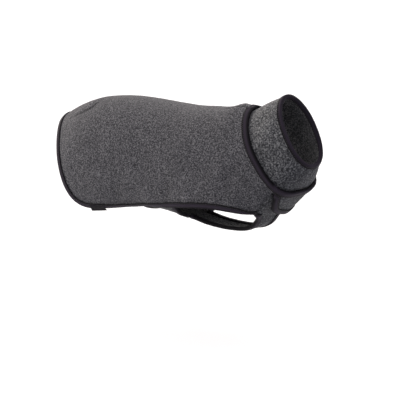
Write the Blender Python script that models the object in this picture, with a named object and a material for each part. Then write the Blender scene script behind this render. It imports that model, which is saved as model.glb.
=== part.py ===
"""A fleece coat for a dog, in the shape it takes when worn: back panel, chest bib, chest flap, belly band, stand
collar, and the black binding along every edge.

Frame, in metres: +X towards the neck, +Z up, Y across. The origin is on the inner face of the back panel, over the
withers and on the centre plane, where the wearer's back carries the coat.

Each piece of cloth is a patch of one surface, the figure. A place on it is a station s, the X of its section at
the spine, and a distance g round that section, from the spine or from the keel, positive to the left. Bindings and
the label are made from the points of the cloth under them, moved out.
"""
import math

import bmesh
import bpy
import numpy as np

CLOTH = 0.0024        # thickness of the fleece
SEAM_GAP = 0.0003     # air left between two pieces
TAPE = 0.0009         # thickness of the binding tape
TAPE_WIDTH = 0.0090   # how far the binding reaches in from an edge
COLLAR_TAPE = 0.0055  # the same on the collar, whose tape is narrower
TAPE_GAP = 0.0005     # air between the binding and the cloth it wraps
TAPE_WRAP = TAPE_GAP + TAPE                    # what a binding adds to each face of the cloth
LAYER = CLOTH + 2 * TAPE_WRAP + SEAM_GAP       # from a bound panel to a bound panel that lies on it
COLLAR_DEPTH = CLOTH + TAPE_WRAP + 3 * SEAM_GAP   # from the body's outer face to the collar's, under the neckline

NECKLINE = 0.060      # station of the neckline
LEG_FRONT = 0.0350    # station where the chest seams end at the leg openings
STRAP_HALF = 0.025    # half the width of the strap between the legs
BAND_FRONT = -0.052   # stations of the belly band's front and rear edges
BAND_REAR = -0.128
BAND_REACH = 0.105    # how far the belly band reaches up each side from the keel

FLEECE_GREY = (0.115, 0.115, 0.12)
COLLAR_GREY = (0.13, 0.13, 0.135)
BINDING_BLACK = (0.012, 0.011, 0.013)
LABEL_BLACK = (0.008, 0.008, 0.009)

# The figure: one row for each section, from the rump to the neck. A section is an oval through a point of the
# spine and a point of the keel. A fullness of 2 is an ellipse, and more is squarer.
# Columns: spine x, spine z, keel x, keel z, half width, fullness above, fullness below.
FIGURE = np.array([
    (-0.352, -0.0490, -0.352, -0.185, 0.034, 1.6, 2.3),
    (-0.335, -0.0375, -0.335, -0.190, 0.046, 1.6, 2.4),
    (-0.306, -0.0215, -0.306, -0.194, 0.060, 1.65, 2.6),
    (-0.275, -0.0095, -0.275, -0.196, 0.069, 1.8, 2.7),
    (-0.250, -0.0020, -0.250, -0.196, 0.073, 2.0, 2.8),
    (-0.213, 0.0035, -0.213, -0.192, 0.077, 2.2, 2.8),
    (-0.165, 0.0050, -0.165, -0.1820, 0.078, 2.2, 2.8),
    (-0.113, 0.0022, -0.113, -0.1735, 0.078, 2.2, 2.8),
    (-0.065, 0.0000, -0.065, -0.1780, 0.077, 2.2, 2.8),
    (-0.016, 0.0018, -0.006, -0.1850, 0.077, 2.2, 2.8),
    (0.000, 0.0024, 0.028, -0.1840, 0.075, 2.2, 2.8),
    (0.020, 0.0050, 0.068, -0.1765, 0.072, 2.2, 2.8),
    (0.040, 0.0075, 0.108, -0.1490, 0.067, 2.0, 2.8),
    (0.050, 0.0078, 0.1285, -0.1300, 0.0635, 1.8, 3.0),
    (0.060, 0.0081, 0.1445, -0.1135, 0.060, 1.65, 3.3),
])

# The collar's own sections above the neckline, up to its free edge. Same columns.
COLLAR = np.array([
    (0.0790, 0.0125, 0.1535, -0.0985, 0.0515, 1.8, 2.9),
    (0.0985, 0.0215, 0.1625, -0.0850, 0.0445, 2.0, 2.5),
    (0.1190, 0.0290, 0.1700, -0.0710, 0.0370, 2.0, 2.3),
])
COLLAR_BASE = (0.053, 0.0575, 0.062)   # stations of the collar's lowest rings, inside the body's neckline

# Free edge of one side of the back panel in side view (x, z): over the rump, then along the side to the leg opening.
REAR_HEM = [(-0.333, -0.0370), (-0.325, -0.047), (-0.316, -0.057), (-0.307, -0.070), (-0.297, -0.087),
            (-0.290, -0.106), (-0.284, -0.124), (-0.276, -0.141)]
SIDE_HEM = [(-0.276, -0.141), (-0.264, -0.157), (-0.248, -0.1675), (-0.225, -0.1712), (-0.185, -0.1683),
            (-0.144, -0.1630), (-0.104, -0.1570), (-0.057, -0.1510), (-0.021, -0.1465), (0.007, -0.1435),
            (0.032, -0.1425), (0.057, -0.1440), (0.079, -0.1460)]
HEM_TURN = 0.003          # how far the middle of each side hem turns in under the belly
TURN_START, TURN_END = (-0.245, -0.150), (-0.100, 0.000)   # stations where the turn grows and dies out
BAND_DEPTH = LAYER + HEM_TURN    # from the figure to the belly band

SEAM = [(LEG_FRONT, 0.0495), (NECKLINE, 0.0520)]   # a chest seam, as places (s, g from the keel)
# Edges of the chest pieces as places (s, g from the keel). The right leg edge runs from the chest seam to the strap.
LEG_EDGE = [(0.0050, STRAP_HALF), (0.0200, 0.0250), (0.0270, 0.0270), (0.0315, 0.0325), (0.0340, 0.0410)]
BIB_HIDDEN_EDGE = [(0.0050, STRAP_HALF), (0.0190, 0.0250), (0.0280, 0.0220), (0.0340, 0.0185)]
FLAP_LOWER = [(0.0425, -0.0255), (0.0405, -0.0110), (0.0385, 0.0080), (0.0365, 0.0250), (0.0355, 0.0410)]
FLAP_FRONT = [(0.0425, -0.0255), (0.0455, -0.0330), (0.0500, -0.0397), (0.0555, -0.0460), (NECKLINE, -0.0498)]
BIB_FRONT = 0.0525        # station where the bib ends at its seam
BIB_TOP = [(0.0515, -0.0360), (0.0505, 0.0), (0.0505, 0.0140)]   # its edge under the flap

# Large folds of the back panel: a soft ridge, or a trough where the height is below 0, between two places.
# Columns: s and g from the spine at one end, the same at the other end, width, height.
FOLDS = [
    (0.036, -0.050, 0.036, 0.045, 0.010, 0.0022),
    (-0.318, -0.020, -0.268, -0.034, 0.009, -0.0018),
    (-0.315, 0.024, -0.262, 0.036, 0.009, -0.0016),
    (0.020, -0.080, -0.050, -0.120, 0.016, 0.0012),
    (0.015, 0.085, -0.040, 0.130, 0.016, 0.0013),
    (-0.180, -0.165, -0.100, -0.150, 0.018, -0.0012),
    (-0.200, 0.160, -0.120, 0.152, 0.018, -0.0013),
]
BAND_COLUMNS = 8          # grid columns of the belly band on each side of the strap
HEM_ROWS = 36             # grid rows of the back panel along its side hem
BIB_CORNER = 13           # grid row of the bib where its leg edge meets the chest seam
LABEL_ROWS = range(8, 12) # rows of the back panel's right side that carry the label
LABEL_DROP = 0.005        # how far the label hangs below the hem
LABEL_THICKNESS = 0.0006


def hermite(table, s):
    """A row of the table at station s, on a smooth curve through its rows."""
    x = table[:, 0]
    slope = np.gradient(table, x, axis=0)
    i = int(np.clip(np.searchsorted(x, s) - 1, 0, len(x) - 2))
    step = x[i + 1] - x[i]
    t = (s - x[i]) / step
    if t < 0:
        return table[0] + slope[0] * (s - x[0])
    if t > 1:
        return table[-1] + slope[-1] * (s - x[-1])
    return ((1 + 2 * t) * (1 - t) ** 2 * table[i] + t * (1 - t) ** 2 * step * slope[i]
            + t * t * (3 - 2 * t) * table[i + 1] + t * t * (t - 1) * step * slope[i + 1])


ANGLES = np.linspace(0, math.pi, 181)


def power(value, fullness):
    return np.sign(value) * np.abs(value) ** (2 / fullness)


class Loft:
    """A smooth surface through a table of sections."""

    def __init__(self, table):
        self.table = table
        self.halves = {}

    def half(self, s):
        """The left half of the section at s, from spine to keel: points, and distance round it."""
        key = round(s, 7)
        if key not in self.halves:
            row = hermite(self.table, s)
            spine, keel = row[[0, 1]], row[[2, 3]]
            middle, up = (spine + keel) / 2, (spine - keel) / 2
            fullness = np.where(ANGLES < math.pi / 2, row[5], row[6])
            along = power(np.cos(ANGLES), fullness)
            across = row[4] * power(np.sin(ANGLES), fullness)
            points = np.stack([middle[0] + up[0] * along, across, middle[1] + up[1] * along], 1)
            round_it = np.concatenate([[0], np.cumsum(np.linalg.norm(np.diff(points, axis=0), axis=1))])
            self.halves[key] = points, round_it
        return self.halves[key]

    def girth(self, s):
        return self.half(s)[1][-1]

    def at(self, s, g, keel=False):
        """The point at station s and signed distance g from the spine, or from the keel."""
        points, round_it = self.half(s)
        distance = round_it[-1] - abs(g) if keel else abs(g)
        x, y, z = (np.interp(distance, round_it, points[:, k]) for k in range(3))
        return np.array([x, math.copysign(y, g) if g else 0.0, z])

    def normal(self, s, g, keel=False):
        """The outward unit normal there."""
        h = 0.0025
        ds = self.at(s + h, g, keel) - self.at(s - h, g, keel)
        dg = self.at(s, g + h, keel) - self.at(s, g - h, keel)
        n = np.cross(ds, dg) * (-1 if keel else 1)
        return n / np.linalg.norm(n)

    def place(self, x, z):
        """(s, g) of the left half's point that is at (x, z) in side view."""
        target = np.array([x, z])
        low, high = self.table[0, 0] - 0.02, self.table[-1, 0] + 0.02
        for _ in range(50):
            s = (low + high) / 2
            row = hermite(self.table, s)
            chord, to = row[[2, 3]] - row[[0, 1]], target - row[[0, 1]]
            if chord[0] * to[1] - chord[1] * to[0] > 0:
                low = s
            else:
                high = s
        along = 1 - 2 * float(np.clip(to @ chord / (chord @ chord), 0, 1))
        fullness = row[5] if along > 0 else row[6]
        angle = math.acos(math.copysign(abs(along) ** (fullness / 2), along))
        _, round_it = self.half(s)
        return s, float(np.interp(angle, ANGLES, round_it))


def smooth_line(points, count):
    """count places on a Catmull-Rom curve through the points, evenly spaced along it."""
    p = np.array(points, float)
    if len(p) > 2:
        q = np.vstack([2 * p[0] - p[1], p, 2 * p[-1] - p[-2]])
        t = np.linspace(0, 1, 12, endpoint=False)[:, None]
        dense = [0.5 * (2 * b + (c - a) * t + (2 * a - 5 * b + 4 * c - d) * t ** 2 + (3 * b - a - 3 * c + d) * t ** 3)
                 for a, b, c, d in zip(q, q[1:], q[2:], q[3:])]
        p = np.vstack(dense + [p[-1:]])
    far = np.concatenate([[0], np.cumsum(np.linalg.norm(np.diff(p, axis=0), axis=1))])
    where = np.linspace(0, far[-1], count)
    return np.stack([np.interp(where, far, p[:, k]) for k in range(p.shape[1])], 1)


def fill(rear, front, first, last, rounds=80):
    """Places of a grid between its four sides, evened out. Rows run from rear to front, columns from first to last."""
    u = np.linspace(0, 1, len(first))[:, None, None]
    v = np.linspace(0, 1, len(rear))[None, :, None]
    grid = (1 - v) * first[:, None] + v * last[:, None] + (1 - u) * rear[None] + u * front[None]
    grid = grid - ((1 - u) * (1 - v) * first[0] + (1 - u) * v * last[0]
                   + u * (1 - v) * first[-1] + u * v * last[-1])
    for _ in range(rounds):
        grid[1:-1, 1:-1] = (grid[:-2, 1:-1] + grid[2:, 1:-1] + grid[1:-1, :-2] + grid[1:-1, 2:]) / 4
    return grid


def offset_places(loop, keel):
    """Each place of a closed loop moved TAPE_WIDTH inwards across the figure, mitred at corners."""
    points = np.array([figure.at(s, g, keel) for s, g in loop])
    moved = []
    for i, (s, g) in enumerate(loop):
        normal = figure.normal(s, g, keel) * (-1 if keel else 1)
        sides = (points[i] - points[i - 1], points[(i + 1) % len(loop)] - points[i])
        inward = [np.cross(normal, side) / np.linalg.norm(np.cross(normal, side)) for side in sides]
        step = (inward[0] + inward[1]) / (1 + inward[0] @ inward[1]) * TAPE_WIDTH
        h = 0.001
        along = (figure.at(s + h, g, keel) - figure.at(s - h, g, keel)) / (2 * h)
        across = (figure.at(s, g + h, keel) - figure.at(s, g - h, keel)) / (2 * h)
        moved.append((s, g) + np.linalg.lstsq(np.stack([along, across], 1), step, rcond=None)[0])
    return np.array(moved)


def rimmed(rear, front, first, last, keel=False):
    """Places of a grid between its four sides, whose second line in from each side is TAPE_WIDTH away from it.

    Rows run from rear to front, and columns from the right (first) to the left (last).
    """
    rows, columns = len(first), len(rear)
    grid = np.zeros((rows, columns, 2))
    grid[:, 0], grid[:, -1], grid[0], grid[-1] = first, last, rear, front
    inner = offset_places(np.concatenate([first[:-1], front[:-1], last[:0:-1], rear[:0:-1]]), keel)
    corners = [0, rows - 1, rows + columns - 2, 2 * rows + columns - 3, len(inner)]
    inner = np.vstack([inner, inner[:1]])
    lines = [np.vstack([inner[a], inner[a + 2:b - 1], inner[b]]) for a, b in zip(corners, corners[1:])]
    grid[1:-1, 1:-1] = fill(lines[3][::-1], lines[1], lines[0], lines[2][::-1])
    return grid


def new_object(name, mesh, colour, roughness):
    material = bpy.data.materials.new(name)
    material.use_nodes = True
    shader = material.node_tree.nodes["Principled BSDF"]
    shader.inputs["Base Color"].default_value = (*colour, 1)
    shader.inputs["Roughness"].default_value = roughness
    mesh.materials.append(material)
    mesh.shade_smooth()
    piece = bpy.data.objects.new(name, mesh)
    coat.objects.link(piece)
    return piece


def finished(name, mesh):
    """The mesh of a closed solid, its faces turned out."""
    bmesh.ops.triangulate(mesh, faces=mesh.faces, quad_method="SHORT_EDGE")
    bmesh.ops.recalc_face_normals(mesh, faces=mesh.faces)
    data = bpy.data.meshes.new(name)
    mesh.to_mesh(data)
    mesh.free()
    return data


def first_diagonal(places):
    """Whether a quad is split between its first and third corners, the shorter way across."""
    return np.linalg.norm(places[0] - places[2]) < np.linalg.norm(places[1] - places[3])


def add_halves(mesh, corners, places):
    """The two triangles of a quad, split as the cloth is at these places of its outer face."""
    a, b, c, d = corners
    for half in ((a, b, c), (a, c, d)) if first_diagonal(places) else ((a, b, d), (b, c, d)):
        mesh.faces.new(half)


def wall_mesh(name, outer, inner, tube):
    """A closed wall between two grids of points. The columns of a tube run all the way round."""
    rows, columns = outer.shape[:2]
    mesh = bmesh.new()
    top, bottom = ({(i, j): mesh.verts.new(grid[i, j]) for i in range(rows) for j in range(columns)}
                   for grid in (outer, inner))
    for i in range(rows - 1):
        for j in range(columns if tube else columns - 1):
            k = (j + 1) % columns
            corners = [(i, j), (i + 1, j), (i + 1, k), (i, k)]
            for grid in (top, bottom):
                add_halves(mesh, [grid[corner] for corner in corners], [outer[corner] for corner in corners])
    if tube:
        rims = [[(i, j) for j in range(columns)] for i in (0, rows - 1)]
    else:
        rims = [[(i, 0) for i in range(rows - 1)] + [(rows - 1, j) for j in range(columns - 1)]
                + [(i, columns - 1) for i in range(rows - 1, 0, -1)] + [(0, j) for j in range(columns - 1, 0, -1)]]
    for rim in rims:
        for here, there in zip(rim, rim[1:] + rim[:1]):
            mesh.faces.new((top[here], top[there], bottom[there], bottom[here]))
    return finished(name, mesh)


SWING = (0.25, 0.5, 0.75, 1)   # how a binding's sections turn, step by step, to lie along a seam


def between(place, target, share):
    return tuple(np.array(place, float) * (1 - share) + np.array(target, float) * share)


class Panel:
    """One piece of cloth: the points of its outer face and their normals."""

    def __init__(self, name, points, normals, colour, thickness=CLOTH, tube=False):
        self.points, self.normals, self.tube = points, normals, tube
        new_object(name, wall_mesh(name, points, points - normals * thickness, tube), colour, 0.9)

    def read(self, place):
        """Point and normal at a (row, column) of the grid, between whole numbers on its quads' flat halves."""
        rows, columns = self.points.shape[:2]
        i, j = place
        i0, j0 = min(int(i), rows - 2), int(j) if self.tube else min(int(j), columns - 2)
        u, v = i - i0, j - j0
        j0, j1 = j0 % columns, (j0 + 1) % columns
        a, b, c, d = ((i0, j0), (i0 + 1, j0), (i0 + 1, j1), (i0, j1))
        if first_diagonal([self.points[corner] for corner in (a, b, c, d)]):
            shares = {a: 1 - max(u, v), c: min(u, v), b: max(u - v, 0), d: max(v - u, 0)}
        else:
            shares = {b: u - max(u + v - 1, 0), d: v - max(u + v - 1, 0), a: max(1 - u - v, 0), c: max(u + v - 1, 0)}
        point, normal = (sum(share * grid[k] for k, share in shares.items()) for grid in (self.points, self.normals))
        return point, normal / np.linalg.norm(normal)

    def section(self, edge, inner):
        """A section for a binding, from the places of its edge and of its inner line."""
        return *self.read(edge), *self.read(inner)

    def rim(self, p, round_corner=True):
        """Places of the edge and of the binding's inner line at position p of the loop round the panel.

        The loop goes up the first column, along the front row, down the last column and back along the rear row.
        """
        rows, columns = self.points.shape[:2]
        up, over = rows - 1, columns - 1
        p %= 2 * (up + over)
        if p <= up:
            edge = (p, 0)
        elif p <= up + over:
            edge = (up, p - up)
        elif p <= 2 * up + over:
            edge = (2 * up + over - p, over)
        else:
            edge = (0, 2 * (up + over) - p)
        inner = [min(max(edge[0], 1), up - 1), min(max(edge[1], 1), over - 1)]
        near_corner = 0.35 if round_corner else 0
        for axis, last in ((0, up), (1, over)):
            other_is_rim = edge[1 - axis] in (0, (over, up)[axis])
            if other_is_rim and edge[axis] == 1:
                inner[axis] += near_corner
            elif other_is_rim and edge[axis] == last - 1:
                inner[axis] -= near_corner
        return edge, tuple(inner)

    def along_edge(self, p, way, distance):
        """The place at a distance round the edge from position p."""
        here, there = self.rim(p)[0], self.rim(p + way)[0]
        length = np.linalg.norm(self.read(there)[0] - self.read(here)[0])
        return between(here, there, distance / length)

    def sections(self, positions, start_seam=False, end_seam=False):
        """Sections at positions of the rim. At a seam end they swing round to lie along the seam."""
        places = [self.rim(p) for p in positions]
        for at_seam, way in ((start_seam, -1), (end_seam, 1)):
            if at_seam:
                places = places[::way]
                p = positions[0 if way < 0 else -1]
                before, inner_before = self.rim(p - way, False)
                edge, seam = places[-1][0], self.along_edge(p, way, TAPE_WIDTH)
                places[-2] = before, inner_before
                places[-1:] = [(between(before, edge, t), between(inner_before, seam, t)) for t in SWING]
                places = places[::way]
        return [self.section(*place) for place in places]


# Faces that close an end of a folded tape, by the numbers of its ten corners.
TAPE_END = [(0, 1, 8, 9), (1, 2, 8), (8, 2, 3), (8, 3, 7), (7, 3, 4), (4, 5, 6, 7)]


def bind(name, sections, ring=False):
    """A folded tape round the edge of the cloth, through its sections."""
    mesh = bmesh.new()
    loops = []
    for edge, edge_normal, inner, inner_normal in sections:
        out = (edge - inner) / np.linalg.norm(edge - inner)
        hold, nose = edge + out * TAPE_GAP, edge + out * TAPE_WRAP
        loops.append([mesh.verts.new(p) for p in (
            inner + inner_normal * TAPE_WRAP,
            hold + edge_normal * TAPE_WRAP,
            nose,
            nose - edge_normal * CLOTH,
            hold - edge_normal * (CLOTH + TAPE_WRAP),
            inner - inner_normal * (CLOTH + TAPE_WRAP),
            inner - inner_normal * (CLOTH + TAPE_GAP),
            hold - edge_normal * (CLOTH + TAPE_GAP),
            hold + edge_normal * TAPE_GAP,
            inner + inner_normal * TAPE_GAP,
        )])
    steps = list(zip(loops, sections))
    for (a, (edge, _, inner, _)), (b, (next_edge, _, next_inner, _)) in zip(steps, steps[1:] + steps[:1] * ring):
        for k in range(len(a)):
            n = (k + 1) % len(a)
            outwards = inner, next_inner, next_edge, edge
            add_halves(mesh, (a[k], b[k], b[n], a[n]), outwards if k in (0, 6) else outwards[::-1])
    if not ring:
        for loop in (loops[0], loops[-1]):
            for face in TAPE_END:
                mesh.faces.new([loop[k] for k in face])
    new_object(name, finished(name, mesh), BINDING_BLACK, 0.7)


def ramp(value, start, end):
    """A smooth step from 0 at start to 1 at end."""
    t = np.clip((value - start) / (end - start), 0, 1)
    return t * t * (3 - 2 * t)


def fold_height(s, g):
    """How far the back panel's large folds move the place (s, g) out."""
    total = 0.0
    for s0, g0, s1, g1, width, height in FOLDS:
        start, way = np.array([s0, g0]), np.array([s1 - s0, g1 - g0])
        t = np.clip((np.array([s, g]) - start) @ way / (way @ way), 0, 1)
        away = np.linalg.norm(np.array([s, g]) - start - t * way)
        total += height * math.exp(-(away / width) ** 2) * math.sin(math.pi * (0.15 + 0.7 * t))
    return total


def seam_places(count, front=NECKLINE):
    """Places along the left chest seam, from the leg opening forward."""
    s = np.linspace(LEG_FRONT, front, count)
    return np.stack([s, np.interp(s, *np.transpose(SEAM))], 1)


def make_back_panel():
    """The panel from hem to hem over the back, from the rump to the neckline."""
    half = 13
    seam = [(s, figure.girth(s) - g) for s, g in seam_places(5)]
    side = smooth_line([figure.place(x, z) for x, z in SIDE_HEM] + seam[:1], HEM_ROWS)
    left = np.vstack([side, seam[1:]])
    half_rear = smooth_line([figure.place(x, z) for x, z in REAR_HEM], half)
    half_rear[0, 1] = 0
    half_front = smooth_line([(NECKLINE, 0), seam[-1]], half)
    mirror = (1, -1)
    rear = np.vstack([half_rear[:0:-1] * mirror, half_rear])
    front = np.vstack([half_front[:0:-1] * mirror, half_front])
    places = rimmed(rear, front, left * mirror, left)
    points, normals = np.zeros((2,) + places.shape[:2] + (3,))
    for i, row in enumerate(places):
        for j, (s, g) in enumerate(row):
            from_rim = min(i, len(places) - 1 - i, j, len(row) - 1 - j)
            normals[i, j] = figure.normal(s, g)
            rise = fold_height(s, g) * ramp(from_rim, 0, 2)
            if j in (0, len(row) - 1) and i < HEM_ROWS:
                rise -= HEM_TURN * ramp(s, *TURN_START) * (1 - ramp(s, *TURN_END))
            points[i, j] = figure.at(s, g) + normals[i, j] * rise
    return Panel("back_panel", points, normals, FLEECE_GREY)


def chest_panel(name, places, lift):
    """A panel of the chest or belly, its outer face lift(s, g) above the figure."""
    normals = np.array([[figure.normal(s, g, True) for s, g in row] for row in places])
    lifts = np.array([[lift(s, g) for s, g in row] for row in places])[..., None]
    points = np.array([[figure.at(s, g, True) for s, g in row] for row in places]) + normals * lifts
    return Panel(name, points, normals, FLEECE_GREY)


def make_chest_flap():
    """The left half of the chest, which laps over the bib."""
    seam = seam_places(6) - (0, SEAM_GAP)
    lower = smooth_line([*FLAP_LOWER, seam[0]], 12)
    neck = smooth_line([FLAP_FRONT[-1], seam[-1]], 12)
    return chest_panel("chest_flap", rimmed(lower, neck, smooth_line(FLAP_FRONT, 6), seam, keel=True), lambda s, g: 0)


def make_bib():
    """The right half of the chest with the strap that runs back between the legs."""
    def lift(s, g):
        flap_edge = np.interp(s, *np.transpose(FLAP_FRONT))
        below_flap = LAYER * ramp(g, flap_edge - 0.012, flap_edge - 0.002) * ramp(s, 0.022, 0.0345)
        below_band = BAND_DEPTH * (1 - ramp(s, BAND_FRONT + 0.008, 0.025))
        return -below_flap - below_band * (1 - below_flap / LAYER)

    start = (BAND_FRONT + SEAM_GAP, STRAP_HALF)
    seam = seam_places(5, BIB_FRONT) - (0, SEAM_GAP)
    right = np.vstack([smooth_line([start, LEG_EDGE[0]], 7)[:-1],
                       smooth_line([*LEG_EDGE, seam[0]], 8)[:-1], seam]) * (1, -1)
    left = np.vstack([smooth_line([start, BIB_HIDDEN_EDGE[0]], 7)[:-1],
                      smooth_line(BIB_HIDDEN_EDGE + [(0.038, 0.0160)], 8)[:-1],
                      smooth_line([(0.038, 0.0160), BIB_TOP[-1]], 5)])
    rear = smooth_line([right[0], left[0]], 8)
    front = smooth_line([right[-1], *BIB_TOP], 8)
    return chest_panel("bib", rimmed(rear, front, right, left, keel=True), lift)


def make_belly_band():
    """The band across the belly, whose ends lie inside the side hems."""
    first = smooth_line([(BAND_REAR, -BAND_REACH), (BAND_FRONT, -BAND_REACH)], 9)
    strap = STRAP_HALF + TAPE_WRAP + SEAM_GAP
    side = smooth_line([(BAND_REAR, -BAND_REACH), (BAND_REAR, -strap)], BAND_COLUMNS + 1)
    rear = np.vstack([side, smooth_line([side[-1], side[-1] * (1, -1)], 7)[1:-1], side[::-1] * (1, -1)])
    front = rear + (BAND_FRONT - BAND_REAR, 0)
    places = rimmed(rear, front, first, first * (1, -1), keel=True)
    return chest_panel("belly_band", places, lambda s, g: -BAND_DEPTH)


def make_collar():
    """The stand collar, a tube sewn under the neckline."""
    columns = 44
    loft = Loft(COLLAR)
    turns = np.linspace(0, 2, columns, endpoint=False)
    shares = np.where(turns > 1, turns - 2, turns)
    base = [[figure.at(s, g) - figure.normal(s, g) * COLLAR_DEPTH for g in shares * figure.girth(s)]
            for s in COLLAR_BASE]
    free = np.array([[loft.at(s, g) for g in shares * loft.girth(s)] for s in COLLAR[:, 0]])
    edge, below = free[-1], free[-1] - free[-2]
    inner = edge - below * (COLLAR_TAPE / np.linalg.norm(below, axis=-1, keepdims=True))
    walls = [smooth_line([base[-1][j], *free[:-1, j], inner[j]], 6)[1:] for j in range(columns)]
    points = np.concatenate([base, np.stack(walls, 1), edge[None]])
    along = np.gradient(points, axis=0)
    around = np.roll(points, -1, axis=1) - np.roll(points, 1, axis=1)
    normals = np.cross(along, around)
    normals /= np.linalg.norm(normals, axis=-1, keepdims=True)
    return Panel("collar", points, normals, COLLAR_GREY, tube=True)


def neck_sections(panel):
    """Sections along the neckline edge of a panel, from its right seam to its left."""
    up, over = (n - 1 for n in panel.points.shape[:2])
    right = (up, 0), panel.along_edge(up, -1, TAPE_WIDTH)
    left = (up, over), panel.along_edge(up + over, 1, TAPE_WIDTH)
    return [panel.section(*place) for place in (right, *(panel.rim(up + j, False) for j in range(1, over)), left)]


def make_label(back):
    """A plain woven tab on the right hem's binding, hanging below it."""
    stand = TAPE_WRAP + SEAM_GAP + LABEL_THICKNESS
    points, normals = [], []
    for p in LABEL_ROWS:
        edge, inner = back.rim(p)
        (a, n), (b, m) = back.read(edge), back.read(inner)
        out = (a - b) / np.linalg.norm(a - b)
        points.append([between(a, b, 0.6) + m * stand, a + n * stand, a + out * LABEL_DROP + n * stand])
        normals.append([m, n, n])
    Panel("label", np.array(points), np.array(normals), LABEL_BLACK, thickness=LABEL_THICKNESS)


for old in list(bpy.data.objects):
    bpy.data.objects.remove(old)
coat = bpy.data.collections.new("dog_coat")
bpy.context.scene.collection.children.link(coat)

figure = Loft(FIGURE)
back_panel = make_back_panel()
chest_flap = make_chest_flap()
bib = make_bib()
belly_band = make_belly_band()
collar = make_collar()
make_label(back_panel)

up, over = (n - 1 for n in back_panel.points.shape[:2])
hem_end = HEM_ROWS - 1
bind("hem_binding", back_panel.sections(range(-over - hem_end, hem_end + 1), True, True))
bind("neck_binding", neck_sections(back_panel) + neck_sections(chest_flap)[::-1], ring=True)
top = collar.points.shape[0] - 1
bind("collar_binding", [collar.section((top, j), (top - 1, j)) for j in range(collar.points.shape[1])], ring=True)

up, over = (n - 1 for n in bib.points.shape[:2])
bind("bib_binding_right", bib.sections(range(BIB_CORNER + 1), True, True))
bind("bib_binding_left", bib.sections(range(up + over, 2 * up + over + 1), True, True))
up, over = (n - 1 for n in chest_flap.points.shape[:2])
under_neck = chest_flap.along_edge(up, -1, TAPE_WIDTH + SEAM_GAP)[0]
bind("flap_binding", chest_flap.sections([*range(-over, int(under_neck) + 1), under_neck], True))
up, over = (n - 1 for n in belly_band.points.shape[:2])
bind("band_binding", belly_band.sections(range(-up - over - BAND_COLUMNS, up + BAND_COLUMNS + 1)))
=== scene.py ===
# %% [markdown]
# # A dog coat of grey marl fleece, with black bound edges
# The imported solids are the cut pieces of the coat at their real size, and they stay as they are. This script
# gives each one a finer shape and the surface of its cloth. It could model the coat again from nothing, but a
# piece that starts from its own solid is sure to lie where the solid lies, so every piece here starts from one.

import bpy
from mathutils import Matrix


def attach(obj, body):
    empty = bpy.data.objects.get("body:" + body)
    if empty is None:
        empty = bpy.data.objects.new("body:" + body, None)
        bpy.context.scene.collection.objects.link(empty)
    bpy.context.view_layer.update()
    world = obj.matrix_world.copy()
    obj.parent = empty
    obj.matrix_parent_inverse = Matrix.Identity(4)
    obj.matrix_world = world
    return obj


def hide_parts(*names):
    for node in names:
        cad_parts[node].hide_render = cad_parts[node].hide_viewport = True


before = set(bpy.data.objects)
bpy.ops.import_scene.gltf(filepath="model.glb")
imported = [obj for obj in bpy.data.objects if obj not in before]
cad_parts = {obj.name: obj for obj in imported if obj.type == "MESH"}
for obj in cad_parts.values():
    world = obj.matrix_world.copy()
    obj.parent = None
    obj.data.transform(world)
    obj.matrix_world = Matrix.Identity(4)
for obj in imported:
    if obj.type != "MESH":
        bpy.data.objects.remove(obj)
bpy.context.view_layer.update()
print("nodes:", ", ".join(sorted(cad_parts)))

# %% what Blender gives, and the unit
import math

import bmesh
import bpy
import numpy
from mathutils import Matrix, Vector, kdtree, noise
from mathutils.bvhtree import BVHTree

scene = bpy.context.scene
MM = 0.001

# %% [markdown]
# ## Camera
# The photograph looks at the coat from its right and a little from the front, from slightly above, through a
# long lens. The three directions below are the picture's right, its up, and back to the camera. A long lens far
# away keeps the coat free of strong perspective, which a near, wide lens would bring.

# %% camera
NAPE = Vector((0.060, 0.0, 0.0081))
ACROSS = Vector((0.7660, 0.6428, 0.0))
UP = Vector((-0.1116, 0.1330, 0.9848))
BACK = Vector((0.6330, -0.7544, 0.1736))
NAPE_RIGHT_OF_CENTRE = 84 * MM
NAPE_ABOVE_CENTRE = 141 * MM
CAMERA_AWAY = 3.0

lens = bpy.data.cameras.new("camera")
lens.lens = 180
lens.sensor_width = 36
lens.clip_end = 100
camera = bpy.data.objects.new("camera", lens)
scene.collection.objects.link(camera)
camera.rotation_mode = "QUATERNION"
camera.rotation_quaternion = Matrix((ACROSS, UP, BACK)).transposed().to_quaternion()
camera.location = NAPE - NAPE_RIGHT_OF_CENTRE * ACROSS - NAPE_ABOVE_CENTRE * UP + CAMERA_AWAY * BACK
scene.camera = camera
print("camera at", [round(x, 3) for x in camera.location])

# %% [markdown]
# ## Colours
# A colour listed here is an sRGB code, but a shader counts in linear light. One function turns the one into
# the other, and another adds a node with its settings and links, which keeps each material short.

# %% colour and node helpers
def linear(code):
    """The linear colour of an sRGB code such as #8a8a8a."""
    shares = [int(code[i : i + 2], 16) / 255 for i in (1, 3, 5)]
    bent = [s / 12.92 if s <= 0.04045 else ((s + 0.055) / 1.055) ** 2.4 for s in shares]
    return (*bent, 1.0)


def add(material, kind, settings=None, links=None, stops=None):
    """A node of that kind in the material. A setting is a socket's value or else the node's own, and stops are
    the colours of a ramp."""
    made = material.node_tree.nodes.new(kind)
    for name, value in (settings or {}).items():
        if hasattr(made, str(name)):
            setattr(made, name, value)
        else:
            made.inputs[name].default_value = value
    for name, source in (links or {}).items():
        material.node_tree.links.new(source, made.inputs[name])
    for i, (place, code) in enumerate(stops or []):
        ramp = made.color_ramp.elements
        stop = ramp[i] if i < 2 else ramp.new(place)
        stop.position = place
        stop.color = linear(code)
    return made


def blank(name):
    """A new material with an empty node tree."""
    material = bpy.data.materials.new(name)
    material.use_nodes = True
    material.node_tree.nodes.clear()
    return material


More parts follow.
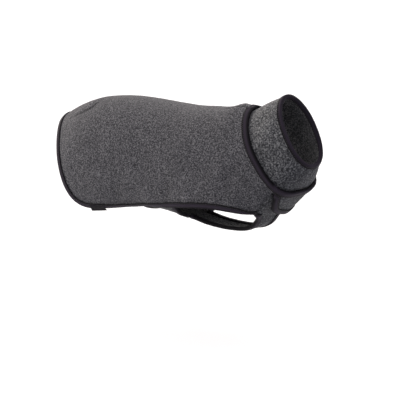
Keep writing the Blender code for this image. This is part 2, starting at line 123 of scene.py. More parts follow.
# %% [markdown]
# ## Studio
# The photograph is a cut-out on white. Its light is soft and comes from above, behind and the left, so what
# faces the camera or turns to the front and down is darker. One lamp would cast edges that the photo doesn't
# have, so the world itself is the light: bright on one side, dim on the other, and even in between.

# %% world light
LIGHT_FROM = Vector((-0.88, 0.20, 0.16)).normalized()
DIMMEST = 0.05
BRIGHTEST = 2.06

scene.view_settings.view_transform = "Standard"
world = bpy.data.worlds.new("studio")
scene.world = world
world.use_nodes = True
world.node_tree.nodes.clear()
way = add(world, "ShaderNodeTexCoord").outputs["Generated"]
facing = add(world, "ShaderNodeVectorMath", {"operation": "DOT_PRODUCT", 1: LIGHT_FROM}, {0: way})
strength = add(
    world,
    "ShaderNodeMapRange",
    {"From Min": -1.0, "From Max": 1.0, "To Min": DIMMEST, "To Max": BRIGHTEST},
    {"Value": facing.outputs["Value"]},
)
tint = add(
    world,
    "ShaderNodeValToRGB",
    {},
    {"Fac": add(world, "ShaderNodeMapRange", {"From Min": -1.0}, {"Value": facing.outputs["Value"]}).outputs[0]},
    [(0.0, "#e4e9ff"), (1.0, "#fff8ee")],
)
glow = add(world, "ShaderNodeBackground", {}, {"Color": tint.outputs[0], "Strength": strength.outputs[0]})
add(world, "ShaderNodeOutputWorld", {}, {"Surface": glow.outputs[0]})
print("world light from", [round(x, 2) for x in LIGHT_FROM])

# %% [markdown]
# The floor is plain white paper where the paws would stand. Under the coat a real studio floor is shaded by the
# wearer, which isn't here, so the floor is kept out of the light that reaches the cloth from below; the dim side
# of the world takes its place. A backdrop has a lamp of its own, so the paper also glows faintly.

# %% floor
FLOOR = -0.36
FLOOR_REACH = 20
floor_mesh = bpy.data.meshes.new("floor")
corners = [(x * FLOOR_REACH, y * FLOOR_REACH, FLOOR) for x, y in ((-1, -1), (1, -1), (1, 1), (-1, 1))]
floor_mesh.from_pydata(corners, [], [(0, 1, 2, 3)])
floor = bpy.data.objects.new("floor", floor_mesh)
scene.collection.objects.link(floor)
paper = blank("matt_white_paper")
surface = add(
    paper,
    "ShaderNodeBsdfPrincipled",
    {
        "Base Color": linear("#fbfbfa"),
        "Roughness": 0.9,
        "Emission Color": linear("#ffffff"),
        "Emission Strength": 0.2,
    },
)
add(paper, "ShaderNodeOutputMaterial", {}, {"Surface": surface.outputs[0]})
floor_mesh.materials.append(paper)
floor.visible_diffuse = False

# %% [markdown]
# ## Brushed polyester fleece
# Fleece is knitted from fine polyester yarn and then brushed, so fibres stand up in a short, felted nap. Dark
# and light fibres are mixed before spinning, which gives a marl: flecks about 2 mm across, a little lighter or
# darker than their neighbours. To the eye it is fully matt, with a faint pale edge where the nap is seen from
# the side. Real fibres are 0.02 mm thick and too fine to show, so the hairs here are drawn 0.4 mm thick. Where
# the cloth is creased, its colour gets painted light on the crest and painted shade in the trough. Each point
# of the cloth keeps a number for that, its fold mark, and the colour is scaled by it. This shading is painted
# on and not light on a shape, so it helps creases that are there and makes none of its own.

# %% fleece
POLYESTER_IOR = 1.57
FLECK = 1.9 * MM
HAIR = 0.4 * MM
HAIR_WIDTH_TO_LENGTH = 0.12
HAIR_TURNS = ((0.3, 0.9, 0.2), (1.2, -0.5, 1.0))
TUFT = 3.5 * MM
CLOUDS_PER_METRE = 28.0
MOST_FOLD = 1.6


def brushed_polyester_fleece(name, dark, middle, light, fleck):
    """Grey marl fleece with flecks of that size in metres."""
    m = blank(name)
    place = add(m, "ShaderNodeTexCoord").outputs["Object"]
    marl = add(m, "ShaderNodeTexNoise", {"Scale": 1 / fleck, "Detail": 2.0, "Roughness": 0.6}, {"Vector": place})
    marl_colour = add(
        m,
        "ShaderNodeValToRGB",
        {},
        {"Fac": marl.outputs["Fac"]},
        [(0.34, dark), (0.66, light), (0.5, middle)],
    )
    hairs = []
    for turn in HAIR_TURNS:
        lie = add(
            m,
            "ShaderNodeMapping",
            {"Rotation": turn, "Scale": (1 / HAIR, HAIR_WIDTH_TO_LENGTH / HAIR, 1 / HAIR)},
            {"Vector": place},
        )
        hairs.append(add(m, "ShaderNodeTexNoise", {"Scale": 1.0, "Detail": 1.0}, {"Vector": lie.outputs[0]}))
    strands = add(
        m,
        "ShaderNodeMath",
        {"operation": "MAXIMUM"},
        {0: hairs[0].outputs["Fac"], 1: hairs[1].outputs["Fac"]},
    )
    strand_light = add(
        m,
        "ShaderNodeMapRange",
        {"From Min": 0.42, "From Max": 0.72, "To Min": 0.75, "To Max": 1.27},
        {"Value": strands.outputs[0]},
    )
    cloud = add(m, "ShaderNodeTexNoise", {"Scale": CLOUDS_PER_METRE, "Detail": 2.0}, {"Vector": place})
    cloud_light = add(
        m,
        "ShaderNodeMapRange",
        {"From Min": 0.3, "From Max": 0.7, "To Min": 0.93, "To Max": 1.07},
        {"Value": cloud.outputs["Fac"]},
    )
    # painted light on crease crests and painted shade in their troughs, read from each point's fold mark
    fold = add(m, "ShaderNodeAttribute", {"attribute_name": "fold"})
    fold_light = add(
        m,
        "ShaderNodeMapRange",
        {"From Min": -MOST_FOLD, "From Max": MOST_FOLD, "To Min": 0.4, "To Max": 1.6},
        {"Value": fold.outputs["Fac"]},
    )
    nap_light = add(
        m,
        "ShaderNodeMath",
        {"operation": "MULTIPLY"},
        {0: strand_light.outputs[0], 1: cloud_light.outputs[0]},
    )
    shade = add(
        m,
        "ShaderNodeMath",
        {"operation": "MULTIPLY"},
        {0: nap_light.outputs[0], 1: fold_light.outputs[0]},
    )
    colour = add(
        m,
        "ShaderNodeVectorMath",
        {"operation": "SCALE"},
        {0: marl_colour.outputs["Color"], "Scale": shade.outputs[0]},
    )
    tufts = add(m, "ShaderNodeTexNoise", {"Scale": 1 / TUFT, "Detail": 3.0, "Roughness": 0.65}, {"Vector": place})
    height = add(
        m,
        "ShaderNodeMath",
        {"operation": "MULTIPLY_ADD", 1: 0.35},
        {0: strands.outputs[0], 2: tufts.outputs["Fac"]},
    )
    nap = add(m, "ShaderNodeBump", {"Strength": 0.85, "Distance": 1.2 * MM}, {"Height": height.outputs[0]})
    surface = add(
        m,
        "ShaderNodeBsdfPrincipled",
        {
            "Roughness": 0.95,
            "IOR": POLYESTER_IOR,
            "Specular IOR Level": 0.15,
            "Sheen Weight": 0.22,
            "Sheen Roughness": 0.55,
            "Sheen Tint": linear("#d8d6d4"),
        },
        {"Base Color": colour.outputs[0], "Normal": nap.outputs[0]},
    )
    add(m, "ShaderNodeOutputMaterial", {}, {"Surface": surface.outputs[0]})
    return m


fleece = brushed_polyester_fleece("brushed_polyester_fleece", "#252427", "#4e4d50", "#848283", FLECK)
# the front fleece is painted darker, as shade, and the collar fleece lighter, as light
front_fleece_painted_shade = brushed_polyester_fleece(
    "brushed_polyester_fleece_front_painted_shade", "#19191b", "#434344", "#868584", 1.35 * FLECK
)
collar_fleece_painted_light = brushed_polyester_fleece(
    "brushed_polyester_fleece_collar_painted_light", "#262628", "#555556", "#949392", 1.3 * FLECK
)

# %% [markdown]
# ## Woven bias binding
# The edges are bound with a strip of plain-woven black polyester, cut on the slant so that it turns round a
# curve, and folded over the raw edge. To the eye it is smooth beside the fleece, near black with a trace of
# purple. Its colour has painted shade by its seams and a painted highlight on its rounded fold. Its threads are
# 0.3 mm apart, which the picture can't show, so they are drawn 0.9 mm apart. The slant comes from two numbers
# that each point of a tape keeps: how far it is along the tape and across it, which also places the painted
# shade and highlight. At a scale of 1, the bands of Blender's wave texture are 0.314 apart.

# %% binding
TAPE_WIDTH = 9.0 * MM
THREAD_SPACING = 0.9 * MM
LABEL_THREAD_SPACING = 0.7 * MM
WAVE_PERIOD = 0.314


def plain_woven_tape(name, seam, fold, slant, spacing, relief):
    """A woven strip whose threads lie at that angle to its length, with painted shade by its edges and a painted
    highlight between.
    """
    m = blank(name)
    run = add(m, "ShaderNodeAttribute", {"attribute_name": "along_and_across"})
    turned = add(m, "ShaderNodeMapping", {"Rotation": (0.0, 0.0, slant)}, {"Vector": run.outputs["Vector"]})
    waves = []
    for direction in ("X", "Y"):
        waves.append(
            add(
                m,
                "ShaderNodeTexWave",
                {"bands_direction": direction, "Scale": WAVE_PERIOD / spacing, "Distortion": 0.6, "Detail": 1.0},
                {"Vector": turned.outputs[0]},
            )
        )
    weave = add(
        m,
        "ShaderNodeMath",
        {"operation": "MULTIPLY"},
        {0: waves[0].outputs["Fac"], 1: waves[1].outputs["Fac"]},
    )
    across = add(m, "ShaderNodeSeparateXYZ", {}, {"Vector": run.outputs["Vector"]})
    share = add(m, "ShaderNodeMath", {"operation": "DIVIDE", 1: TAPE_WIDTH}, {0: across.outputs["Y"]})
    # painted shade by the tape's seams and a painted highlight on its rounded fold, by the distance across it
    seam_shade_and_crown_highlight = add(
        m,
        "ShaderNodeValToRGB",
        {},
        {"Fac": share.outputs[0]},
        [(0.0, seam), (0.95, seam), (0.24, seam), (0.42, fold), (0.68, fold)],
    )
    thread_light = add(m, "ShaderNodeMapRange", {"To Min": 0.62, "To Max": 1.1}, {"Value": weave.outputs[0]})
    colour = add(
        m,
        "ShaderNodeVectorMath",
        {"operation": "SCALE"},
        {0: seam_shade_and_crown_highlight.outputs["Color"], "Scale": thread_light.outputs[0]},
    )
    ribs = add(m, "ShaderNodeBump", {"Strength": 0.5, "Distance": relief}, {"Height": weave.outputs[0]})
    surface = add(
        m,
        "ShaderNodeBsdfPrincipled",
        {
            "Roughness": 0.72,
            "IOR": POLYESTER_IOR,
            "Specular IOR Level": 0.12,
            "Sheen Weight": 0.02,
            "Sheen Roughness": 0.4,
            "Sheen Tint": linear("#b8a8c0"),
        },
        {"Base Color": colour.outputs[0], "Normal": ribs.outputs[0]},
    )
    add(m, "ShaderNodeOutputMaterial", {}, {"Surface": surface.outputs[0]})
    return m


# near-black purple binding: its seam colour is painted shade and its fold colour a painted highlight
binding = plain_woven_tape("woven_bias_binding", "#110d13", "#38303c", math.radians(45), THREAD_SPACING, 0.12 * MM)
label_tape = plain_woven_tape("woven_label_tape", "#17151a", "#17151a", 0.0, LABEL_THREAD_SPACING, 0.08 * MM)

# %% [markdown]
# ## Sewing thread
# Spun polyester thread, 0.4 mm thick, dyed to match the binding. Its twist is far too fine to show, so a
# slightly glossier black than the tape is all that the eye gets.

# %% thread
TWIST = 0.5 * MM

thread = blank("spun_polyester_thread")
twist = add(
    thread,
    "ShaderNodeTexNoise",
    {"Scale": 1 / TWIST, "Detail": 1.0},
    {"Vector": add(thread, "ShaderNodeTexCoord").outputs["Object"]},
)
thread_colour = add(
    thread,
    "ShaderNodeValToRGB",
    {},
    {"Fac": twist.outputs["Fac"]},
    [(0.35, "#161418"), (0.65, "#322d34")],
)
surface = add(
    thread,
    "ShaderNodeBsdfPrincipled",
    {"Roughness": 0.5, "IOR": POLYESTER_IOR},
    {"Base Color": thread_colour.outputs["Color"]},
)
add(thread, "ShaderNodeOutputMaterial", {}, {"Surface": surface.outputs[0]})

# %% [markdown]
# ## Creases
# Worn cloth isn't smooth. Most of the coat lies close, but it folds behind the nape where the neck bends, breaks
# over the rump, and pulls towards the leg openings and the belly band. Each crease is a path on the cloth in
# millimetres, with half its width and its height; a trough has a height below zero. They could be simulated,
# but a simulation doesn't put a crease where the real one has it. The far side isn't seen in the photograph,
# and has similar creases of its own sizes.

# %% crease table
# name, half width mm, height mm, path mm
CREASES = [
    ("rump_crest", 6, 2.0, [(-284, -28, -30), (-268, -30, -23), (-254, -30, -16), (-246, -24, -9), (-242, -12, -4)]),
    (
        "rump_break",
        5,
        -2.6,
        [(-290, -37, -37), (-271, -39, -28), (-256, -41, -22), (-243, -40, -16), (-235, -32, -8), (-233, -18, -1)],
    ),
    ("rump_hollow", 26, -1.2, [(-222, -52, -22), (-208, -70, -48), (-200, -77, -80)]),
    ("rump_ridge", 22, 0.9, [(-282, -60, -70), (-262, -70, -110), (-240, -68, -150)]),
    ("nape_crest", 5, 1.8, [(20, -26, 1), (35, -22, 4), (45, -17, 6), (60, -13, 7)]),
    ("nape_groove", 5, -2.8, [(14, -19, 3), (34, -14, 6), (44, -9, 8), (60, -4, 8)]),
    ("nape_hump", 9, 2.2, [(22, 2, 7), (36, 3, 8), (46, 3, 9), (56, 2, 9)]),
    ("shoulder_pull", 16, 1.2, [(62, -62, -52), (44, -74, -88), (26, -76, -120)]),
    ("shoulder_hollow", 14, -1.3, [(74, -64, -78), (62, -71, -104), (52, -71, -128)]),
    ("leg_ridge", 10, 1.3, [(-8, -76, -112), (-16, -76, -128), (-22, -73, -142)]),
    ("band_hollow", 14, -1.7, [(-44, -77, -108), (-54, -76, -126), (-60, -70, -144)]),
    ("hem_ridge", 16, 1.1, [(-92, -77, -118), (-98, -75, -138), (-100, -70, -156)]),
    ("hem_hollow", 18, -1.2, [(-150, -77, -112), (-158, -75, -136), (-162, -68, -158)]),
    ("flank_hollow", 30, -0.9, [(-120, -66, -32), (-104, -77, -70), (-96, -77, -100)]),
    ("far_rump_break", 6, -2.2, [(-268, 45, -33), (-252, 46, -24), (-238, 42, -16)]),
    ("far_rump_hollow", 24, -1.1, [(-228, 56, -26), (-216, 71, -54), (-206, 77, -92)]),
    ("far_rump_ridge", 20, 1.0, [(-288, 58, -74), (-268, 69, -112), (-250, 68, -148)]),
    ("far_nape_fold", 6, 1.6, [(8, 18, 2), (24, 20, 3), (40, 16, 5)]),
    ("far_nape_groove", 7, -1.6, [(-14, 34, -3), (8, 36, -4), (30, 37, -3)]),
    ("far_shoulder_pull", 15, 1.4, [(58, 64, -46), (42, 75, -84), (22, 76, -116)]),
    ("far_shoulder_hollow", 15, -1.1, [(76, 64, -72), (66, 70, -100), (54, 71, -124)]),
    ("far_leg_ridge", 11, 1.1, [(-4, 76, -108), (-12, 76, -124), (-16, 74, -140)]),
    ("far_band_hollow", 15, -1.5, [(-40, 77, -104), (-52, 76, -124), (-56, 71, -142)]),
    ("far_hem_ridge", 15, 1.2, [(-104, 77, -112), (-110, 75, -134), (-110, 70, -156)]),
    ("far_hem_hollow", 17, -1.0, [(-164, 77, -108), (-170, 75, -132), (-172, 68, -156)]),
    ("collar_lean", 9, -1.5, [(84, -45, -20), (96, -43, -8), (106, -33, 4), (110, -20, 14)]),
    ("collar_wrinkle", 4, -1.4, [(78, -17, 5), (93, -27, 5), (107, -34, 2)]),
    ("collar_pleat", 4, 1.1, [(84, -12, 12), (98, -20, 13), (108, -27, 11)]),
    ("collar_roll", 12, 1.1, [(106, -47, -34), (118, -43, -18), (124, -33, 2)]),
    ("collar_hollow", 12, -1.1, [(112, -52, -66), (126, -48, -58), (140, -43, -56)]),
    ("collar_front", 11, 1.0, [(128, -44, -86), (142, -36, -82), (154, -28, -76)]),
    ("far_collar_lean", 10, -1.3, [(88, 45, -16), (100, 42, -4), (110, 30, 8)]),
    ("far_collar_roll", 12, 1.0, [(104, 48, -44), (120, 45, -34), (132, 39, -22)]),
    ("far_collar_hollow", 12, -1.2, [(116, 51, -74), (130, 47, -68), (142, 41, -64)]),
    ("band_sag", 12, -0.9, [(-122, 6, -172), (-92, 10, -174), (-60, 4, -176)]),
    ("band_ridge", 10, 0.8, [(-118, -34, -168), (-90, -30, -171), (-62, -36, -171)]),
    ("bib_seam", 4, -1.4, [(127, -50, -109), (119, -49, -119), (112, -48, -127), (104, -46, -138)]),
    ("far_bib_seam", 4, -1.3, [(126, 50, -110), (118, 49, -120), (111, 48, -129), (103, 46, -139)]),
    ("bib_fold", 9, 0.9, [(-20, -4, -183), (20, 0, -183), (56, -6, -180)]),
    ("bib_side", 8, -0.7, [(62, -30, -166), (84, -32, -152), (104, -34, -136)]),
]
print(len(CREASES), "creases")

# %% [markdown]
# A crease moves cloth straight out from the body, or in towards it. The body's middle line below tells which
# way is out. A crease acts on a point by its distance along the cloth, so both faces of a wall move alike. All
# that is sewn together moves by the same rule, so a tape stays on its edge to about half a millimetre. A slow,
# slight unevenness goes over it all, as no worn cloth is quite even. It is drawn on a round of 60 mm about the
# middle line, where both faces of a wall share a spot.

# %% how far each point of the cloth moves
BODY_LINE = [(-400, 0, -116), (-200, 0, -92), (0, 0, -90), (60, 0, -68), (100, 0, -52), (145, 0, -22), (200, 0, 18)]
SWELL = 0.55 * MM
RIPPLE = 0.16 * MM
REACH = 14 * MM
CREASE_AT_ITS_ENDS = 0.25
ROUND_MM = 60
SWELLS_PER_METRE = 22
RIPPLES_PER_METRE = 90


def along_path(points, path):
    """The distance from each point to a path, how far along the path that is, from 0 to 1, and the path's nearest
    spot."""
    rows = numpy.array(path, float) * MM
    steps = rows[1:] - rows[:-1]
    lengths = numpy.linalg.norm(steps, axis=1)
    starts = numpy.concatenate([[0], numpy.cumsum(lengths)])
    nearest = numpy.full(len(points), 1e9)
    share = numpy.zeros(len(points))
    foot = numpy.zeros_like(points)
    for i, step in enumerate(steps):
        t = numpy.clip((points - rows[i]) @ step / (step @ step), 0, 1)
        spot = rows[i] + t[:, None] * step
        far = numpy.linalg.norm(points - spot, axis=1)
        closer = far < nearest
        nearest[closer] = far[closer]
        share[closer] = (starts[i] + t[closer] * lengths[i]) / starts[-1]
        foot[closer] = spot[closer]
    return nearest, share, foot


def outward(points):
    """The direction from the body's middle line to each point."""
    out = points - along_path(points, BODY_LINE)[2]
    return out / numpy.linalg.norm(out, axis=1)[:, None]


def beside(points, out, path):
    """How far each point is from a path along the cloth, and how far along the path. What lies far through the body
    from the path isn't beside it."""
    far, share, spot = along_path(points, path)
    gap = points - spot
    through = (gap * out).sum(axis=1)
    flat = numpy.linalg.norm(gap - through[:, None] * out, axis=1)
    flat[numpy.abs(through) > REACH] = 1.0
    return flat, share


def crease_shares(points):
    """Each crease's height, half width and share of that height at each point. The distance is taken along the
    cloth and not through it, so both faces of a wall move alike."""
    out = outward(points)
    for _, half_width, height, path in CREASES:
        flat, share = beside(points, out, path)
        inside = numpy.clip(1 - (flat / (half_width * MM)) ** 2, 0, 1) ** 2
        full = numpy.sin(numpy.pi * share) * (1 - CREASE_AT_ITS_ENDS) + CREASE_AT_ITS_ENDS
        yield height * MM, half_width, inside * full


def settled(points):
    """Where the points of the cloth lie once the creases are in it."""
    out = outward(points)
    rise = numpy.zeros(len(points))
    for height, half_width, share in crease_shares(points):
        rise += height * share
    for i, p in enumerate(out):
        spot = Vector(p) * ROUND_MM * MM + Vector((points[i][0], 0, 0))
        rise[i] += SWELL * noise.noise(spot * SWELLS_PER_METRE) + RIPPLE * noise.noise(spot * RIPPLES_PER_METRE)
    return points + out * rise[:, None]


# %% [markdown]
# ## From a solid to a smooth piece
# A solid's wall is faceted. Its copy is welded, its triangles are joined back to quads, and two or three rounds
# of subdivision round it off. Edges sharper than a set angle are creased first, so a cut edge keeps its corner.
# Rebuilding the walls from formulas would also do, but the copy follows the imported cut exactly. Where a
# crease is narrow, with a half width of 6 mm or less, those faces are too few for its curve, so the cloth beside it
# is split twice more before it is moved.

# %% the finer copy of a node
SHARP = math.radians(48)
WELD = 1e-6
FLATTEST_PAIR = math.radians(25)
SQUAREST_PAIR = math.radians(60)


def finer(node, rounds, firmness):
    """A smooth mesh from the node's solid, after that many rounds, with its sharp edges held that firmly."""
    edit = bmesh.new()
    edit.from_mesh(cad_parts[node].data)
    bmesh.ops.remove_doubles(edit, verts=edit.verts, dist=WELD)
    bmesh.ops.join_triangles(
        edit, faces=edit.faces, angle_face_threshold=FLATTEST_PAIR, angle_shape_threshold=SQUAREST_PAIR
    )
    firm = edit.edges.layers.float.get("crease_edge") or edit.edges.layers.float.new("crease_edge")
    for edge in edit.edges:
        if edge.is_manifold and edge.calc_face_angle() > SHARP:
            edge[firm] = firmness
    rough = bpy.data.meshes.new("rough_" + node)
    edit.to_mesh(rough)
    edit.free()
    holder = bpy.data.objects.new("holder", rough)
    scene.collection.objects.link(holder)
    step = holder.modifiers.new("rounds", "SUBSURF")
    step.levels = step.render_levels = rounds
    step.use_limit_surface = False
    fine = bpy.data.meshes.new_from_object(holder.evaluated_get(bpy.context.evaluated_depsgraph_get()))
    bpy.data.objects.remove(holder)
    bpy.data.meshes.remove(rough)
    return fine


NARROW = 6
SPLIT_MARGINS = (3.0, 1.5)


def split_by_creases(mesh):
    """Splits the faces beside each narrow crease twice, so that its small curve has points enough."""
    edit = bmesh.new()
    edit.from_mesh(mesh)
    for margin in SPLIT_MARGINS:
        rows = numpy.array([v.co for v in edit.verts])
        near = numpy.zeros(len(rows), bool)
        out = outward(rows)
        for _, half_width, _, path in CREASES:
            if half_width <= NARROW:
                near |= beside(rows, out, path)[0] < (half_width + margin) * MM
        edit.verts.index_update()
        chosen = [e for e in edit.edges if near[e.verts[0].index] and near[e.verts[1].index]]
        if chosen:
            bmesh.ops.subdivide_edges(edit, edges=chosen, cuts=1, use_grid_fill=True)
    edit.to_mesh(mesh)
    edit.free()


def points_of(mesh):
    """The mesh's points as rows of three numbers."""
    rows = numpy.zeros(len(mesh.vertices) * 3)
    mesh.vertices.foreach_get("co", rows)
    return rows.reshape(-1, 3)


def set_points(mesh, rows):
    """Moves the mesh's points to those rows."""
    mesh.vertices.foreach_set("co", numpy.asarray(rows, float).ravel())
    mesh.update()


def show(name, mesh, material, node):
    """Puts a mesh in the scene as a piece under the root body, with that name and material. The node is not used."""
    mesh.name = name
    mesh.materials.clear()
    mesh.materials.append(material)
    mesh.shade_smooth()
    piece = bpy.data.objects.new(name, mesh)
    scene.collection.objects.link(piece)
    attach(piece, "root")
    return piece


# %% [markdown]
# ## Fleece pieces
# The coat is cut from five pieces: the back, which wraps the sides too, the chest flap, the bib between the
# front legs, the belly band and the collar. On the real coat they are most likely one fleece. The photograph
# shows the front darker and the collar lighter, both with larger flecks, and how much of that is its light isn't
# known. So the front's fleece is painted darker, as shade, and the collar's lighter, as light; their larger
# flecks are their own. Each piece is one soft shell 2.4 mm thick.

# %% make the fleece pieces
CLOTH = {
    "back_panel": fleece,
    "chest_flap": front_fleece_painted_shade,
    "bib": front_fleece_painted_shade,
    "belly_band": front_fleece_painted_shade,
    "collar": collar_fleece_painted_light,
}
CLOTH_ROUNDS = 2
CLOTH_FIRMNESS = 0.55
FULL_FOLD = 2 * MM
pieces = {}
for node, material in CLOTH.items():
    mesh = finer(node, CLOTH_ROUNDS, CLOTH_FIRMNESS)
    split_by_creases(mesh)
    # each point's fold mark: painted light on the crest of a crease and painted shade in its trough
    fold = mesh.attributes.new("fold", "FLOAT", "POINT")
    marks = numpy.zeros(len(mesh.vertices))
    for height, half_width, share in crease_shares(points_of(mesh)):
        marks += height / FULL_FOLD * min(1.0, NARROW / half_width) * share
    fold.data.foreach_set("value", numpy.clip(marks, -MOST_FOLD, MOST_FOLD))
    set_points(mesh, settled(points_of(mesh)))
    pieces[node] = show(node + "_cloth", mesh, material, node)
    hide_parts(node)
    print(node, len(mesh.polygons), "faces")

# %% [markdown]
# ## Bindings
# A tape that is folded over an edge isn't flat: the cloth inside pads it, and the seam pulls it in near its raw
# edge. So each tape gets a soft crown across its width and a groove under the stitches. Each point also keeps
# how far it is along the tape and across it, for the weave and for the tape's painted shade and highlight.

# %% the two edges of a tape
TAPES = {
    "hem_binding": "back_panel",
    "neck_binding": "back_panel",
    "collar_binding": "collar",
    "bib_binding_right": "bib",
    "bib_binding_left": "bib",
    "flap_binding": "chest_flap",
    "band_binding": "belly_band",
}


RAW_CORNER = math.radians(70)
PROBE_MM = 0.3


def chains(pairs):
    """Joins edges, each a pair of vertex numbers, into runs of vertex numbers."""
    neighbours = {}
    for a, b in pairs:
        neighbours.setdefault(a, []).append(b)
        neighbours.setdefault(b, []).append(a)
    left = {frozenset(pair) for pair in pairs}
    found = []
    while left:
        ends = [a for pair in left for a in pair if sum(frozenset((a, b)) in left for b in neighbours[a]) == 1]
        here = min(ends) if ends else min(min(pair) for pair in left)
        run = [here]
        while True:
            ahead = [b for b in neighbours[here] if frozenset((here, b)) in left]
            if not ahead:
                break
            left.discard(frozenset((here, ahead[0])))
            here = ahead[0]
            run.append(here)
        found.append(run)
    return found


def raw_edges(tape, cloth):
    """The outer corners of a tape's two raw edges, in runs of points, and the outward normals at those points."""
    edit = bmesh.new()
    edit.from_mesh(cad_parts[tape].data)
    bmesh.ops.remove_doubles(edit, verts=edit.verts, dist=WELD)
    solid = bmesh.new()
    solid.from_mesh(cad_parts[cloth].data)
    tree = BVHTree.FromBMesh(solid)
    pairs = []
    normals = {}
    for edge in edit.edges:
        if not edge.is_manifold or edge.calc_face_angle() < RAW_CORNER:
            continue
        outer = max(edge.link_faces, key=lambda f: f.calc_area())
        middle = outer.calc_center_median()
        probe = middle + outer.normal * PROBE_MM * MM
        if tree.find_nearest(probe)[3] < tree.find_nearest(middle)[3]:
            continue
        a, b = (v.index for v in edge.verts)
        pairs.append((a, b))
        for v in edge.verts:
            normals.setdefault(v.index, []).append(outer.normal.copy())
    edit.verts.ensure_lookup_table()
    runs = []
    for run in chains(pairs):
        spots = [edit.verts[i].co.copy() for i in run]
        facing = [sum(normals[i], Vector()).normalized() for i in run]
        runs.append((spots, facing))
    edit.free()
    solid.free()
    return runs


def run_length(spots):
    """The length of a run of points."""
    return sum((a - b).length for a, b in zip(spots, spots[1:]))


edge_runs = {}
for tape, cloth in TAPES.items():
    edge_runs[tape] = raw_edges(tape, cloth)
    print(tape, [(len(spots), round(run_length(spots) / MM)) for spots, _ in edge_runs[tape]])

# %% how a tape is padded, and where it lies along its length
CROWN = 0.5 * MM
GROOVE = 0.4 * MM
STITCH_LINE = 2.0 * MM
GROOVE_WIDTH = 0.75 * MM
RUN_STEP = 1.0 * MM
SHORTEST_RUN = 15 * MM
PADDING_FROM = 0.8 * MM
PADDING_OVER = 0.4 * MM


def sampled(runs, spacing):
    """Points every so often along all but the shortest runs, each with its normal, its distance along the run and
    the run's direction there."""
    rows = []
    for spots, facing in runs:
        if run_length(spots) < SHORTEST_RUN:
            continue
        gone = 0.0
        for a, b, m, n in zip(spots, spots[1:], facing, facing[1:]):
            step = (b - a).length
            for k in range(max(1, round(step / spacing))):
                t = k / max(1, round(step / spacing))
                rows.append((a.lerp(b, t), m.lerp(n, t).normalized(), gone + t * step, (b - a).normalized()))
            gone += step
    return rows


def dressed(mesh, runs, cloth_mesh):
    """Where the tape's points lie once its outer face is padded. Each point of the mesh also gets how far it is
    along the tape and across it."""
    rows = sampled(runs, RUN_STEP)
    edge_tree = kdtree.KDTree(len(rows))
    for i, row in enumerate(rows):
        edge_tree.insert(row[0], i)
    edge_tree.balance()
    wrapped = bmesh.new()
    wrapped.from_mesh(cloth_mesh)
    cloth_tree = BVHTree.FromBMesh(wrapped)
    run = mesh.attributes.new("along_and_across", "FLOAT_VECTOR", "POINT")
    moved = []
    for vertex in mesh.vertices:
        spot, i, across = edge_tree.find(vertex.co)
        run.data[vertex.index].vector = (rows[i][2], across, 0.0)
        height = cloth_tree.find_nearest(vertex.co)[3]
        outer = min(1.0, max(0.0, (height - PADDING_FROM) / PADDING_OVER))
        bulge = CROWN * math.sin(math.pi * min(1.0, across / TAPE_WIDTH)) ** 0.8
        dip = GROOVE * math.exp(-(((across - STITCH_LINE) / GROOVE_WIDTH) ** 2))
        moved.append(vertex.co + vertex.normal * outer * (bulge - dip))
    wrapped.free()
    return moved


# %% make the bindings
TAPE_ROUNDS = 3
TAPE_FIRMNESS = 0.7
LABEL_FIRMNESS = 0.8

flat_cloth = {}
for tape, cloth in TAPES.items():
    if cloth not in flat_cloth:
        flat_cloth[cloth] = finer(cloth, CLOTH_ROUNDS, CLOTH_FIRMNESS)
    mesh = finer(tape, TAPE_ROUNDS, TAPE_FIRMNESS)
    set_points(mesh, dressed(mesh, edge_runs[tape], flat_cloth[cloth]))
    set_points(mesh, settled(points_of(mesh)))
    pieces[tape] = show(tape + "_tape", mesh, binding, tape)
    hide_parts(tape)
    print(tape, len(mesh.polygons), "faces")

mesh = finer("label", TAPE_ROUNDS, LABEL_FIRMNESS)
label_run = mesh.attributes.new("along_and_across", "FLOAT_VECTOR", "POINT")
for vertex in mesh.vertices:
    label_run.data[vertex.index].vector = (vertex.co.x, vertex.co.z, 0.0)
set_points(mesh, settled(points_of(mesh)))
pieces["label"] = show("label_tab", mesh, label_tape, "label")
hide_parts("label")

# %% [markdown]
# ## Stitches
# One row of straight lockstitches holds each tape, 2 mm in from its raw edge, on both faces of the cloth. Each
# stitch is 2.7 mm of thread that dives into the cloth at both ends. They could be a bump in the tape's material,
# but a small bent rod for each keeps the row in the shape itself. On the inside of the hem the raw edge is found
# only in stretches, so that row has gaps.

# %% stitches
STITCH = 2.7 * MM
STITCH_STEP = 3.3 * MM
THREAD_RADIUS = 0.22 * MM
THREAD_SIDES = 5
LOOK_ASIDE = 4 * MM
FARTHEST_TAPE = 1.0 * MM
FARTHEST_SEAT = 2.0 * MM
LIFT = 0.5 * MM
# share of the stitch's length from its middle, height and girth in shares of the thread's radius
ROD = [(-0.5, -0.9, 0.5), (-0.4, 0.1, 0.9), (-0.15, 0.55, 1.0), (0.15, 0.55, 1.0), (0.4, 0.1, 0.9), (0.5, -0.9, 0.5)]


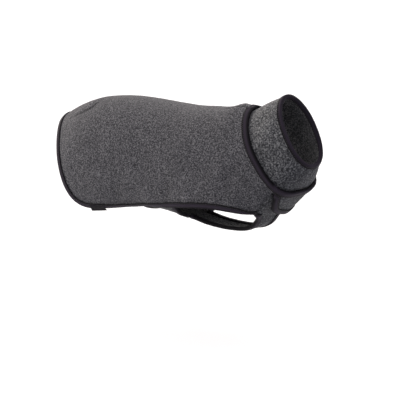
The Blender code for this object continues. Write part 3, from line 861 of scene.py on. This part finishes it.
def stitch_row(tape):
    """The stitches of a tape in one mesh: small rods that follow its surface beside its raw edges."""
    surface = bmesh.new()
    surface.from_mesh(pieces[tape].data)
    tree = BVHTree.FromBMesh(surface)
    rough = bmesh.new()
    rough.from_mesh(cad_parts[tape].data)
    rough_tree = BVHTree.FromBMesh(rough)
    rods = bmesh.new()
    made = 0
    for spot, out, _, forward in sampled(edge_runs[tape], STITCH_STEP):
        inward = out.cross(forward)
        far_a = rough_tree.find_nearest(spot + inward * LOOK_ASIDE)[3]
        far_b = rough_tree.find_nearest(spot - inward * LOOK_ASIDE)[3]
        if far_b < far_a:
            inward = -inward
        if min(far_a, far_b) > FARTHEST_TAPE:
            continue
        seat = Vector(settled(numpy.array([spot + inward * STITCH_LINE + out * LIFT]))[0])
        top, normal, _, far = tree.find_nearest(seat)
        if top is None or far > FARTHEST_SEAT or normal.dot(out) < 0.5:
            continue
        side = normal.cross(forward).normalized()
        along = side.cross(normal).normalized()
        rings = []
        for t, rise, girth in ROD:
            centre = top + along * t * STITCH + normal * rise * THREAD_RADIUS
            ring = []
            for k in range(THREAD_SIDES):
                turn = 2 * math.pi * k / THREAD_SIDES
                ring.append(
                    rods.verts.new(
                        centre
                        + side * math.cos(turn) * girth * THREAD_RADIUS
                        + normal * math.sin(turn) * girth * THREAD_RADIUS
                    )
                )
            rings.append(ring)
        for a, b in zip(rings, rings[1:]):
            for k in range(THREAD_SIDES):
                after = (k + 1) % THREAD_SIDES
                rods.faces.new((a[k], a[after], b[after], b[k]))
        rods.faces.new(rings[0][::-1])
        rods.faces.new(rings[-1])
        made += 1
    bmesh.ops.recalc_face_normals(rods, faces=rods.faces)
    mesh = bpy.data.meshes.new(tape + "_stitches")
    rods.to_mesh(mesh)
    for used in (rods, rough, surface):
        used.free()
    print(tape, made, "stitches")
    return mesh


stitches = {}
for tape in TAPES:
    stitches[tape] = show(tape + "_stitches", stitch_row(tape), thread, tape)

# %% [markdown]
# ## Cut sizes
# Each piece was cut flat. Its length and width are tape-measure lengths along and round its imported solid. Few cuts
# are rectangles, so the flat area is stated too: the imported solid's volume over the 2.4 mm of its cloth. The meshes
# above started as copies of those solids, and each one's area, half of both its faces, is printed beside its flat
# area.
# That can't show that the solid itself has the right cut.

# %% cut sizes
# node: width and length in metres, flat area in square metres, what it rests on, the tapes sewn to it
CUTS = {
    "back_panel": ((0.44, 0.47), 0.1587, [], ["hem_binding", "neck_binding"]),
    "chest_flap": ((0.101, 0.064), 0.0047, ["bib"], ["flap_binding"]),
    "bib": ((0.067, 0.199), 0.0100, ["back_panel", "belly_band"], ["bib_binding_right", "bib_binding_left"]),
    "belly_band": ((0.185, 0.082), 0.0143, ["back_panel"], ["band_binding"]),
    "collar": ((0.394, 0.070), 0.0246, ["back_panel"], ["collar_binding"]),
}
for node, (flat, area, rests_on, tapes) in CUTS.items():
    sewn_on = [pieces[tape] for tape in tapes] + [stitches[tape] for tape in tapes]
    if node == "back_panel":
        sewn_on.append(pieces["label"])
    [pieces[other] for other in rests_on]
    half = sum(p.area for p in pieces[node].data.polygons) / 2
    print(node, "flat", area, "m2, mesh", round(half, 4), "m2")
